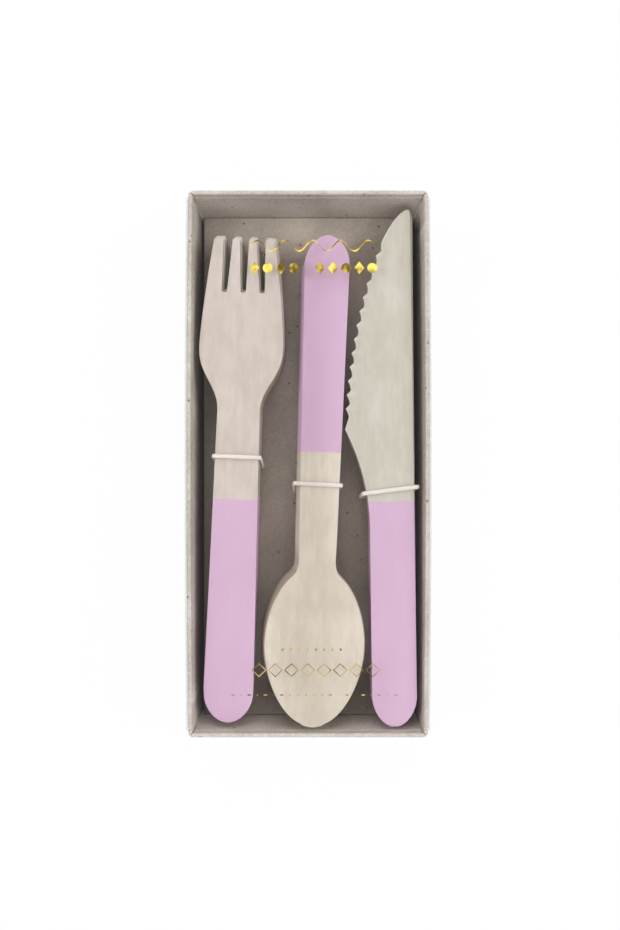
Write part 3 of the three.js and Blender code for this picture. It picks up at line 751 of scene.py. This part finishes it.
def cutCorners(tray, half, low, high):  # mitres in the rim, and a seam near each corner of the end walls
    look = trayLook
    clearSelection()
    cutters = []
    inward = (look["corner"] - look["slitIn"] * math.sqrt(0.5)) * mm
    middle = (low.z + high.z) / 2 - look["seamDrop"] * mm
    for sx in (-1, 1):
        for sy in (-1, 1):
            mitre = (sx * (half.x - inward), sy * (half.y - inward), high.z)
            cutters.append(addCutter(look["slit"], mitre, math.atan2(sy, sx)))
            seam = (sx * (half.x - look["seamIn"] * mm), sy * half.y, middle)
            cutters.append(addCutter((*look["seam"], (high.z - low.z) / mm), seam))
    clearSelection()
    for cutter in cutters:
        cutter.select_set(True)
    bpy.context.view_layer.objects.active = cutters[0]
    bpy.ops.object.join()
    cutter = bpy.context.object
    useModifier(tray, "BOOLEAN", operation="DIFFERENCE", solver="EXACT", object=cutter)
    bpy.data.objects.remove(cutter)


def buildTray(card):
    look = trayLook
    low, high = (Vector(corner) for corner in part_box("tray"))
    half = (high - low) / 2 - Vector((look["bow"] * mm, 0, 0))  # the long sides bow out at the rim
    clearSelection()
    bpy.ops.mesh.primitive_cube_add(size=2)
    tray = bpy.context.object
    tray.name = tray.data.name = "folded_tray"
    bpy.ops.object.mode_set(mode="EDIT")
    bpy.ops.mesh.select_mode(type="EDGE")
    bpy.ops.transform.resize(value=half)
    bpy.ops.transform.translate(value=(0, 0, (low.z + high.z) / 2))
    pick(tray, lambda e: abs(e.verts[0].co.z - e.verts[1].co.z) > 0.001, "edges")
    bpy.ops.mesh.bevel(offset=look["corner"] * mm, segments=4, affect="EDGES")
    straight = half.y - look["corner"] * mm
    rows = [straight * (2 * step / look["bends"] - 1) for step in range(1, look["bends"])]
    bpy.ops.mesh.select_mode(type="VERT")
    for y in rows:
        pick(tray, lambda v: True)
        bpy.ops.mesh.bisect(plane_co=(0, y, 0), plane_no=(0, 1, 0))
    for side in (-1, 1):
        for y in rows:
            pick(tray, lambda v: same(v.co.x, side * half.x) and same(v.co.y, y) and same(v.co.z, high.z))
            bpy.ops.transform.translate(value=(side * look["bow"] * mm * (1 - (y / straight) ** 2), 0, 0))
    bpy.ops.mesh.select_mode(type="FACE")
    pick(tray, lambda f: f.normal.z > 0.9, "faces")
    bpy.ops.mesh.delete(type="FACE")
    bpy.ops.object.mode_set(mode="OBJECT")
    useModifier(tray, "SOLIDIFY", thickness=look["wall"] * mm, offset=-1, use_even_offset=True)
    bpy.ops.object.mode_set(mode="EDIT")
    bpy.ops.mesh.select_mode(type="VERT")
    floorTop = low.z + look["wall"] * mm
    pick(tray, lambda v: abs(v.co.z - floorTop) < 1e-4)  # the floor is one layer, thinner than the walls
    bpy.ops.transform.translate(value=(0, 0, (look["floor"] - look["wall"]) * mm))
    bpy.ops.mesh.select_mode(type="EDGE")
    pick(tray, lambda e: sharp(e, high.z), "edges")
    bpy.ops.mesh.bevel(offset=look["roll"] * mm, segments=4, affect="EDGES")
    pick(tray, lambda e: sharp(e, low.z), "edges")
    bpy.ops.mesh.bevel(offset=look["foot"] * mm, segments=3, affect="EDGES")
    bpy.ops.object.mode_set(mode="OBJECT")

    cutCorners(tray, half, low, high)
    clearSelection()
    tray.select_set(True)
    bpy.context.view_layer.objects.active = tray
    tray.data.materials.append(card)
    bpy.ops.object.shade_smooth_by_angle(angle=math.radians(35))
    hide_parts("tray")
    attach(tray, packBody)
    print("tray folded")


# Platform, ties and wrap keep their CAD shapes
def dressNode(name, material):
    node = nodes[name]
    node.data.materials.clear()
    node.data.materials.append(material)


def dressCard():
    card = makeCard("grey_card", cardLook["pale"], cardLook["deep"], wallPaintedShade)
    # painted shade: the platform gets a darker copy of the tray's card
    shaded = makeCard("card_darkened_as_shade", cardLook["shadePale"], cardLook["shadeDeep"], platformPaintedShade)
    buildTray(card)
    dressNode("platform", shaded)
    elastic = makeElastic()
    for name in ("tie_fork", "tie_spoon", "tie_knife"):
        dressNode(name, elastic)
        weld = nodes[name].modifiers.new("Weld", "WELD")
        weld.merge_threshold = 0.01 * mm
        smooth = nodes[name].modifiers.new("Round", "SUBSURF")
        smooth.levels = smooth.render_levels = 2
        swell = nodes[name].modifiers.new("Swell", "DISPLACE")
        swell.mid_level = 0
        swell.strength = elasticLook["swell"] * mm
    dressNode("sleeve", makeFilm())
    print("card, ties and wrap dressed")


# Floor, light and camera
studio = {
    "roomLight": 0.04, "floorWhite": 0.95, "floorSize": 30, "floorDrop": 0.3,
    "lampSize": 0.8, "lampFar": 1.2, "lampHigh": 40,  # metres, and degrees above the floor
    "lamps": {"right": (0, 9.6), "far": (90, 6.7), "left": (180, 7.2), "near": (270, 4.9)},  # degrees, watts
    "camera": (0.58, -10.1, 242.67),  # millimetres; it looks straight down
    "frame": 930, "focus": 686.5, "off": 31,  # height of the picture, focal length and shift, in pixels
    "sensor": 36,
}


def buildStudio():
    clearSelection()
    bpy.ops.mesh.primitive_plane_add(size=studio["floorSize"], location=(0, 0, -studio["floorDrop"] * mm))
    floor = bpy.context.object
    floor.name = "floor"
    paper = Finish("floor_paper")
    dull = paper.node("BsdfDiffuse", {}, {"Color": tone(244, 244, 244)})
    glow = paper.node("Emission", {}, {"Color": (1, 1, 1, 1), "Strength": 1})
    mixed = paper.node("MixShader", {}, {0: paper.seen() * studio["floorWhite"], 1: dull, 2: glow})
    paper.tree.links.new(mixed.socket, paper.tree.nodes["Material Output"].inputs["Surface"])
    paper.tree.nodes.remove(paper.shader)
    floor.data.materials.append(paper.material)

    bpy.context.scene.world = bpy.data.worlds.new("soft_room")
    room = Finish("soft_room", bpy.context.scene.world, "Background")
    room.set(Color=(1, 1, 1, 1), Strength=room.seen() * (1 - studio["roomLight"]) + studio["roomLight"])

    up = math.radians(studio["lampHigh"])
    for name, (bearing, power) in studio["lamps"].items():
        across = studio["lampFar"] * math.cos(up)
        turn = math.radians(bearing)
        at = Vector((across * math.cos(turn), across * math.sin(turn), studio["lampFar"] * math.sin(up)))
        bpy.ops.object.light_add(type="AREA", location=at)
        lamp = bpy.context.object
        lamp.name = f"soft_box_{name}"
        lamp.data.size = studio["lampSize"]
        lamp.data.energy = power
        lamp.rotation_euler = at.to_track_quat("Z", "Y").to_euler()

    bpy.ops.object.camera_add(location=[side * mm for side in studio["camera"]], rotation=(0, 0, 0))
    camera = bpy.context.object
    camera.data.lens = studio["focus"] / studio["frame"] * studio["sensor"]
    camera.data.shift_y = studio["off"] / studio["frame"]
    camera.data.clip_start = 0.01
    bpy.context.scene.camera = camera
    bpy.context.scene.view_settings.view_transform = "Standard"
    print("studio set")


dressCard()
buildFork()
buildSpoon()
buildKnife()
buildFoil()
buildStudio()
clearSelection()
